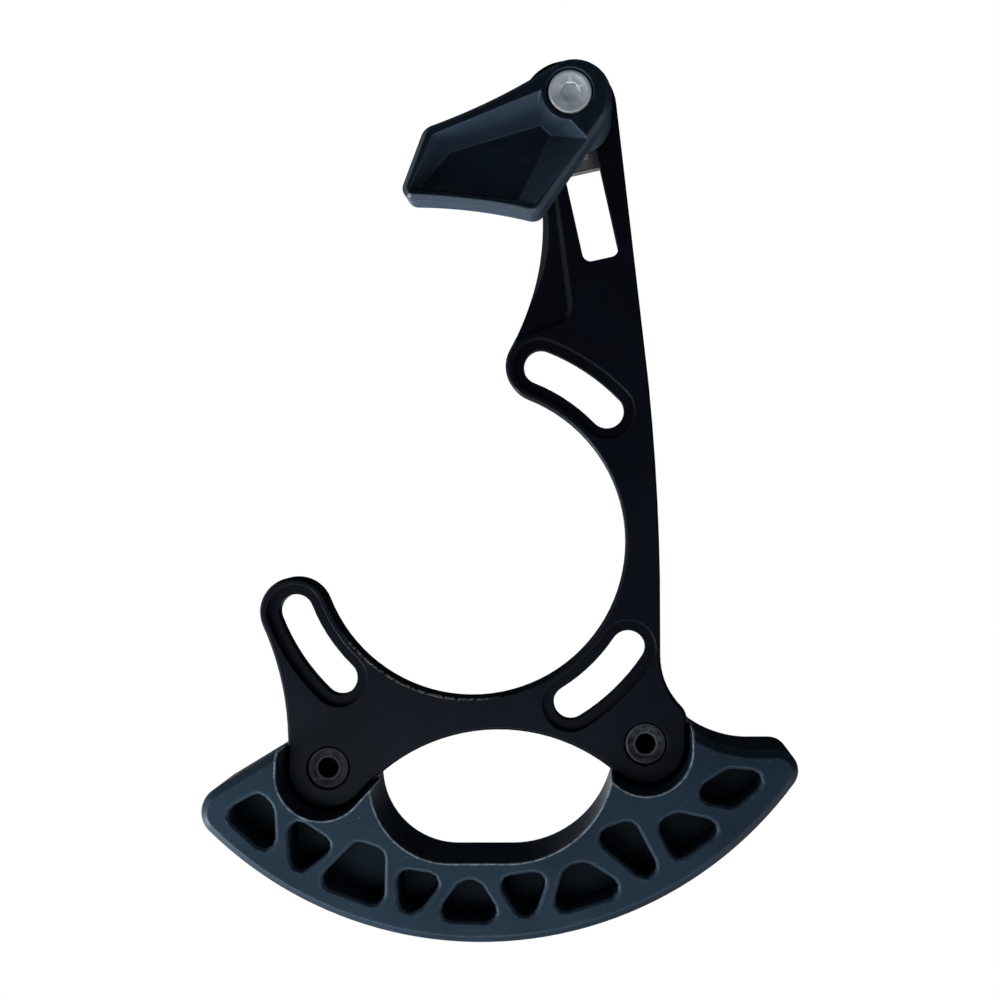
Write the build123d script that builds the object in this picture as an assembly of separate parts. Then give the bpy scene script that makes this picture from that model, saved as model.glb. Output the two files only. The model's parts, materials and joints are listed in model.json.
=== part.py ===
from build123d import *
import os
from math import acos, atan2, degrees, sqrt, tan

# Bicycle chain guide: a three-slot backplate, a bash guard and an upper guide that slides on a slotted arm.
# Every part is drawn flat, as the drive side shows it: x towards the front of the bike, y up and z outboard
# from the plate's rear face, about the bottom bracket axis. stand() then turns it upright, outboard to -Y.

# Frame mount: three arc slots on one circle about the bottom bracket axis
mount_radius = 36.5
mount_slot_width = 6.6
mount_slot_sweep = 24.4
top_slot_angle = 56.3
front_slot_angle = -46.1
rear_slot_angle = 213.7
ledge_width = 2.05
ledge_depth = 2.0
slot_rim = 1.35

# Backplate
plate_thickness = 5.0
plate_chamfer = 0.45
edge_rim = 0.9
arm_knee_height = 12.0
arm_sweep_share = 0.78
arm_back_radius = 50.0
waist_radius = 55.0
flare_radius = 15.0
shoulder_rise = 5.8
shoulder_round = 2.5
arch_radius = 34.8

# Arm slot, measured along its own leaning axis from the guide bolt
guide_bolt_forward = 19.6
guide_bolt_rise = 80.1
slot_lean = 12.6
arm_slot_width = 7.0
arm_slot_round = 1.6
slide_down = 20.0
slide_up = 1.5
arm_end_rise = 3.6
arm_end_radius = 9.3

# Shallow step milled into the arm's back edge
step_depth = 0.8
step_slope = 45.0
step_corner = Vector(-0.6, -36.4)
step_top = Vector(-4.6, -5.6)
step_foot = Vector(-15.0, -42.1)
step_round = 3.0
bevel_width = 2.1
bevel_radius = 31.0

# Bash guard
guard_bolt_radius = 51.3
rear_bolt_angle = -122.3
front_bolt_angle = -49.0
lobe_radius = 8.0
lobe_clearance = 0.6
guard_front = 12.5
guard_back = 5.0
guard_chamfer = 1.4
guard_forward = 2.5
guard_drop = 2.0
guard_rim = 4.7
rear_edge_lean = 31.3
rear_edge_offset = 8.1
rear_tip_round = 5.0
front_tip_round = 4.0
front_edge_start = Vector(8.0, 4.2)
front_edge_dip = Vector(14.5, 0.8)
front_edge_end = Vector(21.5, -0.1)
opening_wall = 3.7
opening_rear_radius = 15.0
opening_front_radius = 20.0
opening_rear_x = -3.2
opening_front_x = 7.6

# Truss pockets about the guard's own centre: each rib has an angle on the inner rail and one on the outer,
# and each pocket a reach past the inner rail and one past the outer
truss_wall = 1.7
truss_height = 6.8
truss_depth = 9.5
truss_round = 2.0
truss_turn = 40.0
truss_chamfer = 0.5
truss_mouth_slope = 45.0
rib_width = 3.2
ribs = (
    (-134.5, -136.4),
    (-128.2, -122.5),
    (-114.8, -118.1),
    (-106.5, -104.0),
    (-94.6, -98.8),
    (-89.0, -85.0),
    (-76.3, -80.3),
    (-70.0, -64.6),
    (-58.5, -59.1),
    (-51.5, -46.0),
    (-39.7, -35.1),
)
reaches = (
    (1.4, 0.0),
    (0.0, 0.9),
    (3.9, 0.0),
    (0.0, 0.8),
    (1.4, 0.0),
    (0.0, 0.8),
    (1.8, 0.0),
    (4.2, 0.5),
    (1.8, 0.0),
    (1.2, 0.0),
)

# Fasteners
bolt_diameter = 5.0
bolt_hole_clearance = 0.2
thread_clearance = 0.05
bolt_head_diameter = 7.8
bolt_head_height = 2.5
head_clearance = 0.25
head_sink = 0.1
guard_hex_size = 3.5
guide_hex_size = 3.0
hex_depth = 1.7
bolt_end_gap = 0.4
nut_size = 8.0
nut_height = 2.7
nut_clearance = 0.1

# Upper guide: its outline is measured from the guide bolt
chain_line = 17.5
channel_width = 9.0
outer_floor = 2.0
tray_depth = 6.0
rim_chamfer = 0.8
inner_wall = 2.5
roof_wall = 2.4
boss_end_at = Vector(0.8, -0.8)
boss_end_radius = 6.6
tail_top = Vector(-25.7, -6.4)
brow_radius = 110.0
tail_foot = Vector(-30.4, -19.0)
jaw = Vector(-18.0, -19.6)
nose_foot = Vector(-5.8, -21.9)
tail_top_round = 3.0
tail_foot_round = 2.0
nose_round = 2.5
boss_radius = 5.1
boss_foot_radius = 7.0
guide_head_sink = 0.4
guide_counterbore_gap = 0.25
inner_lift = Vector(-1.0, 4.4)
inner_boss_radius = 5.8
tongue_length = 10.0
tongue_drop = 0.5
tongue_height = 1.7
tongue_clearance = 0.1
tongue_gap = 0.6
tee_width = 12.0
tee_length = 16.0
tee_height = 2.0

# Tray of the outer half, front to back: the rim's five corners and the floor's
tray_rim = ((-28.4, -17.7), (-24.1, -7.7), (-5.0, 0.2), (3.3, -8.4), (-6.2, -20.0))
tray_floor = ((-27.8, -16.0), (-21.5, -9.3), (-5.4, -4.6), (-3.5, -6.4), (-9.3, -18.0))

# Sizes that follow from the ones above
end_radius = mount_slot_width / 2 + ledge_width + slot_rim
shell_radius = mount_radius - end_radius
truss_inner = guard_bolt_radius + lobe_radius + lobe_clearance + truss_wall
truss_outer = truss_inner + truss_height
guard_radius = truss_outer + guard_rim
opening_floor = truss_inner + guard_drop - opening_wall
tongue_low = tongue_length / 2 + tongue_drop
tongue_high = tongue_length / 2 - tongue_drop
slot_low = tongue_low + slide_down + tongue_gap
slot_high = tongue_high + slide_up + tongue_gap
channel_inner_face = chain_line - channel_width / 2
channel_outer_face = chain_line + channel_width / 2
inner_back = channel_inner_face - inner_wall
tray_floor_level = channel_outer_face + outer_floor
rim_level = tray_floor_level + tray_depth
guide_seat = rim_level - guide_head_sink - bolt_head_height
head_bore = bolt_head_diameter / 2 + head_clearance
bolt_bore = bolt_diameter / 2 + bolt_hole_clearance
thread_bore = bolt_diameter / 2 + thread_clearance


def polar(radius, angle):
    """Point at an angle about the bottom bracket axis."""
    return Vector(radius, 0).rotate(Axis.Z, angle)


rear_bolt = polar(guard_bolt_radius, rear_bolt_angle)
front_bolt = polar(guard_bolt_radius, front_bolt_angle)
top_slot_end = polar(mount_radius, top_slot_angle + mount_slot_sweep / 2)
rear_slot_end = polar(mount_radius, rear_slot_angle - mount_slot_sweep / 2)
front_slot_end = polar(mount_radius, front_slot_angle + mount_slot_sweep / 2)
guide_bolt_at = Vector(guide_bolt_forward, guide_bolt_rise)
guard_centre = Vector(guard_forward, -guard_drop)
slot_axis = Vector(0, 1).rotate(Axis.Z, slot_lean)
arm_end = guide_bolt_at + slot_axis * arm_end_rise
edge_x = front_slot_end.X + mount_slot_width / 2 + ledge_width + edge_rim


def at(point, level=0.0):
    """Place on the flat drawing, at a height outboard of the plate's rear face."""
    return Pos(point.X, point.Y, level)


def disc(point, radius):
    """Round face about a point."""
    return at(point) * Circle(radius)


def slab(face, low, high):
    """Face raised from one level to another."""
    return Pos(0, 0, low) * extrude(face, high - low)


def polygon(points):
    """Face with straight sides."""
    return make_face(Polyline(*points, close=True))


def hexagon(size):
    """Hexagon face of a width across flats."""
    return RegularPolygon(size / 2, 6, major_radius=False)


def hollow_arc(first, first_radius, second, second_radius, radius):
    """Arc on the left of the way between two discs, hollow and tangent to both."""
    along = second - first
    first_reach = first_radius + radius
    second_reach = second_radius + radius
    run = (along.length**2 + first_reach**2 - second_reach**2) / (2 * along.length)
    rise = sqrt(first_reach**2 - run**2)
    centre = first + along.normalized() * run + along.normalized().rotate(Axis.Z, 90) * rise
    start = first + (centre - first).normalized() * first_radius
    end = second + (centre - second).normalized() * second_radius
    middle = centre + ((start + end) * 0.5 - centre).normalized() * radius
    return ThreePointArc(start, middle, end)


def touch_point(centre, radius, point):
    """Where a line from a point touches a disc, on the left of the way out to that point."""
    way = point - centre
    return centre + polar(radius, degrees(atan2(way.Y, way.X) + acos(radius / way.length)))


def round_corner(face, point, radius):
    """Face with the corner nearest to a point rounded."""
    return fillet(face.vertices().sort_by_distance(point)[0], radius)


def mount_slot(angle, width):
    """Arc slot on the mounting circle."""
    arc = CenterArc((0, 0), mount_radius, angle - mount_slot_sweep / 2, mount_slot_sweep)
    return SlotArc(arc, width)


def arm_back():
    """Back edge of the arm, from the top slot's end to the arm's round end."""
    return hollow_arc(top_slot_end, end_radius, arm_end, arm_end_radius, arm_back_radius)


def plate_outline():
    """Backplate seen from the drive side, without its slots and holes."""
    side_x = front_bolt.X + lobe_radius
    flare_drop = sqrt(flare_radius**2 - (edge_x + flare_radius - side_x) ** 2)
    shoulder = Vector(side_x, front_bolt.Y + shoulder_rise)
    flare_top = Vector(edge_x, shoulder.Y + flare_drop)
    flare_centre = flare_top + Vector(flare_radius, 0)
    flare_middle = flare_centre + ((flare_top + shoulder) * 0.5 - flare_centre).normalized() * flare_radius
    knee = Vector(edge_x, arm_knee_height)
    arm_corner = touch_point(arm_end, arm_end_radius, knee)
    arm_lean = atan2(knee.X - arm_corner.X, arm_corner.Y - knee.Y)
    sweep_radius = arm_sweep_share * (knee.Y - flare_top.Y) / tan(arm_lean / 2)
    arch = hollow_arc(front_bolt, lobe_radius, rear_bolt, lobe_radius, arch_radius)
    waist = hollow_arc(rear_bolt, lobe_radius, rear_slot_end, end_radius, waist_radius)
    back = arm_back()
    edges = FilletPolyline(arm_corner, knee, flare_top, radius=sweep_radius)
    edges += ThreePointArc(flare_top, flare_middle, shoulder)
    edges += Polyline(shoulder, (side_x, front_bolt.Y), front_bolt, arch @ 0)
    edges += arch + Polyline(arch @ 1, rear_bolt, waist @ 0)
    edges += waist + Polyline(waist @ 1, rear_slot_end, (0, 0), top_slot_end, back @ 0)
    edges += back + Polyline(back @ 1, arm_end, arm_corner)
    face = make_face(edges) + disc(arm_end, arm_end_radius)
    for bolt in (rear_bolt, front_bolt):
        face += disc(bolt, lobe_radius)
    for end in (top_slot_end, rear_slot_end):
        face += disc(end, end_radius)
    face -= Circle(shell_radius)
    return round_corner(face, shoulder, shoulder_round)


def arm_slot():
    """Straight slot in the arm, with room for the tongues over the whole slide."""
    middle = guide_bolt_at + slot_axis * ((slot_high - slot_low) / 2)
    slot = RectangleRounded(arm_slot_width, slot_low + slot_high, arm_slot_round)
    return at(middle) * Rot(0, 0, slot_lean) * slot


def arm_step(level):
    """Shallow cut with a sloped wall, open to the arm's back edge."""
    far = Vector(-2 * arm_back_radius, 0)
    corner = guide_bolt_at + step_corner
    top = guide_bolt_at + step_top
    foot = guide_bolt_at + step_foot
    face = round_corner(polygon((corner, top, top + far, foot + far, foot)), corner, step_round)
    return Pos(0, 0, level) * extrude(face, step_depth, taper=-step_slope)


def arm_bevel():
    """Cone that takes a crescent off the arm's back edge, widest at the middle."""
    back = arm_back()
    outward = ((back @ 0 + back @ 1) * 0.5 - back @ 0.5).normalized()
    narrow = bevel_radius - bevel_width
    upright = (Align.CENTER, Align.CENTER, Align.MAX)
    cone = Cone(narrow, bevel_radius, bevel_width, align=upright)
    return at(back @ 0.5 + outward * narrow, plate_thickness) * cone


def backplate(outline):
    """Milled plate with stepped mount slots, guard bolt seats, the arm's slot and its back step."""
    plate = slab(outline, 0, plate_thickness)
    front = plate.faces().sort_by(Axis.Z)[-1]
    plate = chamfer(front.outer_wire().edges(), plate_chamfer)
    plate -= arm_step(plate_thickness - step_depth)
    plate -= arm_bevel()
    for angle in (top_slot_angle, front_slot_angle, rear_slot_angle):
        plate -= slab(mount_slot(angle, mount_slot_width), 0, plate_thickness)
        ledge = mount_slot(angle, mount_slot_width + 2 * ledge_width)
        plate -= slab(ledge, plate_thickness - ledge_depth, plate_thickness)
    for bolt in (rear_bolt, front_bolt):
        plate -= slab(disc(bolt, bolt_bore), 0, plate_thickness)
        plate -= slab(disc(bolt, head_bore), plate_thickness - bolt_head_height - head_sink, plate_thickness)
    plate -= slab(arm_slot(), 0, plate_thickness)
    return plate


def guard_outline():
    """Guard seen from the drive side, with the bearing discs behind the plate's lobes."""
    far = 2 * guard_radius
    edge_way = Vector(1, 0).rotate(Axis.Z, rear_edge_lean)
    rear_foot = rear_bolt + edge_way.rotate(Axis.Z, 90) * rear_edge_offset
    start = front_bolt + front_edge_start
    end = front_bolt + front_edge_end
    edges = ThreePointArc(start, front_bolt + front_edge_dip, end)
    edges += Polyline(end, (far, end.Y), (far, -far), (-far, -far), rear_foot - edge_way * far)
    edges += Polyline(rear_foot - edge_way * far, rear_foot, rear_bolt, front_bolt, start)
    face = make_face(edges) & disc(guard_centre, guard_radius)
    rear_tip = face.vertices().sort_by(Axis.X)[0].center()
    front_tip = face.vertices().sort_by(Axis.X)[-1].center()
    face = round_corner(face, rear_tip, rear_tip_round)
    face = round_corner(face, front_tip, front_tip_round)
    for bolt in (rear_bolt, front_bolt):
        face += disc(bolt, lobe_radius)
    rear_hollow = Vector(opening_rear_x, opening_rear_radius - opening_floor)
    front_hollow = Vector(opening_front_x, opening_front_radius - opening_floor)
    hollow = disc(rear_hollow, opening_rear_radius) + disc(front_hollow, opening_front_radius)
    return face - make_hull(hollow.edges())


def on_guard_rim(edge):
    """Whether an edge of the guard's front is clear of the two lobes and of the opening between them."""
    middle = Vector((edge @ 0.5).X, (edge @ 0.5).Y)
    if min((middle - rear_bolt).length, (middle - front_bolt).length) < lobe_radius + lobe_clearance:
        return False
    return not rear_bolt.X < middle.X < front_bolt.X or middle.Y < -opening_floor


def truss_cell(first, second, reach):
    """Pocket between two ribs, with a reach past each of the two rails and rounds in a few chords."""
    corners = []
    for (inner_angle, outer_angle), side in ((first, 1), (second, -1)):
        inner = guard_centre + polar(truss_inner, inner_angle)
        outer = guard_centre + polar(truss_outer, outer_angle)
        shift = (outer - inner).normalized().rotate(Axis.Z, 90) * (side * rib_width / 2)
        inner += shift - polar(reach[0], inner_angle)
        outer += shift + polar(reach[1], outer_angle)
        corners += [inner, outer][::side]
    core = offset(polygon(corners), -truss_round, kind=Kind.INTERSECTION)
    middle = core.center()
    rounds = offset(core, truss_round).edges().filter_by(GeomType.CIRCLE)
    points = []
    for edge in rounds:
        chords = max(1, round(degrees(edge.length / truss_round) / truss_turn))
        points += [edge @ (step / chords) for step in range(chords + 1)]
    points.sort(key=lambda point: atan2(point.Y - middle.Y, point.X - middle.X))
    return polygon(points)


def truss_pocket(first, second, reach):
    """Blind pocket with a chamfered mouth."""
    cell = truss_cell(first, second, reach)
    mouth = extrude(cell, truss_chamfer, taper=-truss_mouth_slope)
    pocket = slab(cell, guard_front - truss_depth, guard_front)
    return pocket + Pos(0, 0, guard_front - truss_chamfer) * mouth


def bash_guard(outline):
    """Moulded guard: blind truss pockets and lobe pockets in front, nut seats behind."""
    guard = slab(guard_outline(), -guard_back, guard_front)
    rim = guard.faces().sort_by(Axis.Z)[-1].outer_wire().edges()
    guard = chamfer(rim.filter_by(on_guard_rim), guard_chamfer)
    lobes = offset(outline, lobe_clearance)
    guard -= slab(lobes, 0, guard_front)
    for first, second, reach in zip(ribs, ribs[1:], reaches):
        guard -= truss_pocket(first, second, reach)
    for bolt in (rear_bolt, front_bolt):
        guard -= slab(disc(bolt, bolt_bore), -guard_back, 0)
        guard -= slab(at(bolt) * hexagon(nut_size + 2 * nut_clearance), -guard_back, nut_height - guard_back)
    return guard


def socket_bolt(length, hex_size):
    """Low-head socket bolt along z, with the underside of its head at zero."""
    head = slab(Circle(bolt_head_diameter / 2), 0, bolt_head_height)
    head -= slab(hexagon(hex_size), bolt_head_height - hex_depth, bolt_head_height)
    return head + slab(Circle(bolt_diameter / 2), -length, 0)


def guard_nut():
    """Thin hexagon nut along z, with its outer face at zero."""
    return slab(hexagon(nut_size) - Circle(thread_bore), 0, nut_height)


def guide_brow():
    """Upper edge of the guide, from its tail to the round bolt end."""
    return hollow_arc(tail_top, 0, boss_end_at, boss_end_radius, brow_radius)


def guide_outline():
    """Upper guide seen from the drive side: a long tail below a round bolt end."""
    brow = guide_brow()
    cheek = touch_point(boss_end_at, boss_end_radius, nose_foot)
    edges = brow + Polyline(brow @ 1, boss_end_at, cheek, nose_foot)
    edges += ThreePointArc(nose_foot, jaw, tail_foot) + Line(tail_foot, tail_top)
    face = make_face(edges) + disc(boss_end_at, boss_end_radius)
    for corner, radius in ((tail_top, tail_top_round), (tail_foot, tail_foot_round), (nose_foot, nose_round)):
        face = round_corner(face, corner, radius)
    return face


def guide_roof(outline):
    """Strip along the guide's upper edge, which keeps the chain in."""
    brow = guide_brow()
    inward = (brow @ 1 - brow @ 0).normalized().rotate(Axis.Z, -90) * roof_wall
    edges = brow + Line(brow @ 1, brow @ 1 + inward)
    edges += ThreePointArc(brow @ 1 + inward, brow @ 0.5 + inward, tail_top + inward)
    edges += Line(tail_top + inward, tail_top)
    return make_face(edges) & outline


def upper_guide_outer():
    """Outer half: a dished face with a bolt boss, and the roof and column that reach the inner half."""
    outline = guide_outline()
    guide = slab(outline, channel_outer_face, rim_level)
    guide = chamfer(guide.faces().sort_by(Axis.Z)[-1].edges(), rim_chamfer)
    rim = Pos(0, 0, rim_level) * polygon(tray_rim)
    floor = Pos(0, 0, tray_floor_level) * polygon(tray_floor)
    upright = (Align.CENTER, Align.CENTER, Align.MIN)
    cone = Cone(boss_foot_radius, boss_radius, tray_depth, align=upright)
    boss = guide & Pos(0, 0, tray_floor_level) * cone
    guide -= loft([floor, rim], ruled=True)
    guide += boss
    guide += slab(guide_roof(outline), channel_inner_face, channel_outer_face)
    guide += slab(disc(boss_end_at, boss_end_radius), channel_inner_face, channel_outer_face)
    guide -= slab(Circle(bolt_bore), channel_inner_face, rim_level)
    guide -= slab(Circle(bolt_head_diameter / 2 + guide_counterbore_gap), guide_seat, rim_level)
    return at(guide_bolt_at) * guide


def tongue(low, high):
    """Block that fills the arm's slot across, so that the guide slides without turning."""
    block = Rectangle(arm_slot_width - 2 * tongue_clearance, tongue_length)
    block = chamfer(block.vertices(), arm_slot_round)
    return Rot(0, 0, slot_lean) * Pos(0, -tongue_drop, 0) * slab(block, low, high)


def upper_guide_inner():
    """Inner half: a plate beside the chain, a spacer boss on the arm and a tongue in its slot."""
    outline = guide_outline()
    plate = outline & Pos(inner_lift.X, inner_lift.Y) * outline
    guide = slab(plate + Circle(inner_boss_radius), inner_back, channel_inner_face)
    guide += slab(Circle(inner_boss_radius), plate_thickness, inner_back)
    guide += tongue(plate_thickness - tongue_height, plate_thickness)
    guide -= slab(Circle(bolt_bore), 0, channel_inner_face)
    return at(guide_bolt_at) * guide


def guide_bolt():
    """Silver bolt through both halves, into the T-nut."""
    length = guide_seat + tee_height - bolt_end_gap
    return at(guide_bolt_at, guide_seat) * socket_bolt(length, guide_hex_size)


def guide_nut():
    """T-nut behind the arm, with its own tongue in the slot."""
    flange = Rot(0, 0, slot_lean) * Rectangle(tee_width, tee_length)
    nut = slab(flange, -tee_height, 0)
    nut += tongue(0, plate_thickness - tongue_height - tongue_gap)
    nut -= slab(Circle(thread_bore), -tee_height, plate_thickness)
    return at(guide_bolt_at) * nut


def stand(part):
    """Upright part: up is +Z and outboard is -Y."""
    return Rot(90, 0, 0) * part


outline = plate_outline()
parts = {
    "backplate": backplate(outline),
    "bash_guard": bash_guard(outline),
    "upper_guide_outer": upper_guide_outer(),
    "upper_guide_inner": upper_guide_inner(),
    "guide_bolt": guide_bolt(),
    "guide_nut": guide_nut(),
}
guard_seat = plate_thickness - bolt_head_height - head_sink
guard_bolt_length = guard_seat + guard_back - bolt_end_gap
for name, bolt in (("rear", rear_bolt), ("front", front_bolt)):
    parts[f"{name}_guard_bolt"] = at(bolt, guard_seat) * socket_bolt(guard_bolt_length, guard_hex_size)
    parts[f"{name}_guard_nut"] = at(bolt, -guard_back) * guard_nut()

os.makedirs("parts", exist_ok=True)
for name, part in parts.items():
    export_step(stand(part), f"parts/{name}.step")
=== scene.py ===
import json
import logging
from dataclasses import dataclass
from enum import Enum
from math import cos, floor, pi, radians, sin, tan

import bmesh
import bpy
from mathutils import Matrix, Vector

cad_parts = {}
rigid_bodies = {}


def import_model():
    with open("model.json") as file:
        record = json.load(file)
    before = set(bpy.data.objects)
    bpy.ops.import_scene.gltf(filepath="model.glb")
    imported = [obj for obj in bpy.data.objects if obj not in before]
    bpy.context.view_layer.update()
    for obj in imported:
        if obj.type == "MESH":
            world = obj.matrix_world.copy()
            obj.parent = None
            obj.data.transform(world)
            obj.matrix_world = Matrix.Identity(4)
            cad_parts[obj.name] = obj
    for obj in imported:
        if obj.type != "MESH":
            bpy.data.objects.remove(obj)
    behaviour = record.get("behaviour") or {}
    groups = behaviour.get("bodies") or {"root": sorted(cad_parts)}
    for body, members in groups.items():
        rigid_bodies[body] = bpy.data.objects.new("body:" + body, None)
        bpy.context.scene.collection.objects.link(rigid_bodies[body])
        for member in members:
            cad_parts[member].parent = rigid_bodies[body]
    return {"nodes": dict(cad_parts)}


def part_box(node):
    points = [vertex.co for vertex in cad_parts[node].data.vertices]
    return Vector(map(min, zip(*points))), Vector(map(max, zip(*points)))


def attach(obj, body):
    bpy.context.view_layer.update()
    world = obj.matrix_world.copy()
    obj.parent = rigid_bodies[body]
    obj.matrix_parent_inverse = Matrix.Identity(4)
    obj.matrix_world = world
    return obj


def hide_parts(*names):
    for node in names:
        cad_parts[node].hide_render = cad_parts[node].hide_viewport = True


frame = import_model()
for leftover in [item for item in bpy.data.objects if item.name in {"Cube", "Light", "Camera"}]:
    bpy.data.objects.remove(leftover)
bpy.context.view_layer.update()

log = logging.getLogger("chain_guide")
Number = float | int
Colour = tuple[float, float, float, float]
Pair = tuple[float, float]
Triple = tuple[float, float, float]
Sockets = dict[str | int, object]

MM = 0.001
PER_MM = 1000.0
WHITE: Colour = (1, 1, 1, 1)
# Black of the painted shade in bolt sockets.
SHADE_BLACK: Colour = (0.0006, 0.0008, 0.0012, 1)
BEVEL_SAMPLES = 8
EDGE_SAMPLES = 12
SHADE_SAMPLES = 8
ROUND_POINTS = 72
WELD = 1e-7
CREASE = radians(32)


class Body(Enum):
    """Bodies of the part that a piece can ride on."""

    FRAME_SIDE = "frame_side"
    UPPER_GUIDE = "upper_guide"


class Slot(Enum):
    """Material slots of the record."""

    PLATE = "plate"
    GUARD = "guard"
    GUARD_BOLT = "guard_bolt"
    GUIDE_BOLT = "guide_bolt"
    NUT = "nut"


@dataclass(frozen=True)
class Band:
    """Limits between which a smooth step rises from 0 to 1."""

    low: float
    high: float


@dataclass(frozen=True)
class Mottle:
    """Noise pattern: features per unit of the coordinates, octaves, and share of the finer octaves."""

    scale: float
    detail: float = 3.0
    roughness: float = 0.55


class Shade:
    """Value on a surface: wraps a socket, and its operators add Math nodes."""

    def __init__(self, graph: "Graph", socket: bpy.types.NodeSocket) -> None:
        """Keep the graph and the socket that gives the value."""
        self.graph = graph
        self.socket = socket

    def math(self, operation: str, *others: "Shade | Number", first: bool = True) -> "Shade":
        """Add one Math node.

        Args:
            operation: Name of the operation.
            others: The other operands.
            first: Whether this value is the first operand.

        Returns:
            The result as a new value.
        """
        operands = [self, *others] if first else [*others, self]
        node = self.graph.node("ShaderNodeMath", {"operation": operation}, dict(enumerate(operands)))
        return Shade(self.graph, node.outputs[0])

    def __add__(self, other: "Shade | Number") -> "Shade":
        """Sum."""
        return self.math("ADD", other)

    __radd__ = __add__

    def __sub__(self, other: "Shade | Number") -> "Shade":
        """Difference."""
        return self.math("SUBTRACT", other)

    def __rsub__(self, other: Number) -> "Shade":
        """Difference from a number."""
        return self.math("SUBTRACT", other, first=False)

    def __mul__(self, other: "Shade | Number") -> "Shade":
        """Product."""
        return self.math("MULTIPLY", other)

    __rmul__ = __mul__

    def __pow__(self, other: Number) -> "Shade":
        """Power."""
        return self.math("POWER", other)

    def step(self, band: Band) -> "Shade":
        """Smooth step: 0 below a band, 1 above it."""
        settings = {"interpolation_type": "SMOOTHSTEP"}
        sockets = {"Value": self, "From Min": band.low, "From Max": band.high, "To Min": 0.0, "To Max": 1.0}
        return Shade(self.graph, self.graph.node("ShaderNodeMapRange", settings, sockets).outputs[0])

    def near(self, number: float, band: Band) -> "Shade":
        """Mask of places where this value is close to a number.

        Args:
            number: The number.
            band: Distances from it over which the mask falls from 1 to 0.

        Returns:
            The mask.
        """
        return 1 - (self - number).math("ABSOLUTE").step(band)


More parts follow.
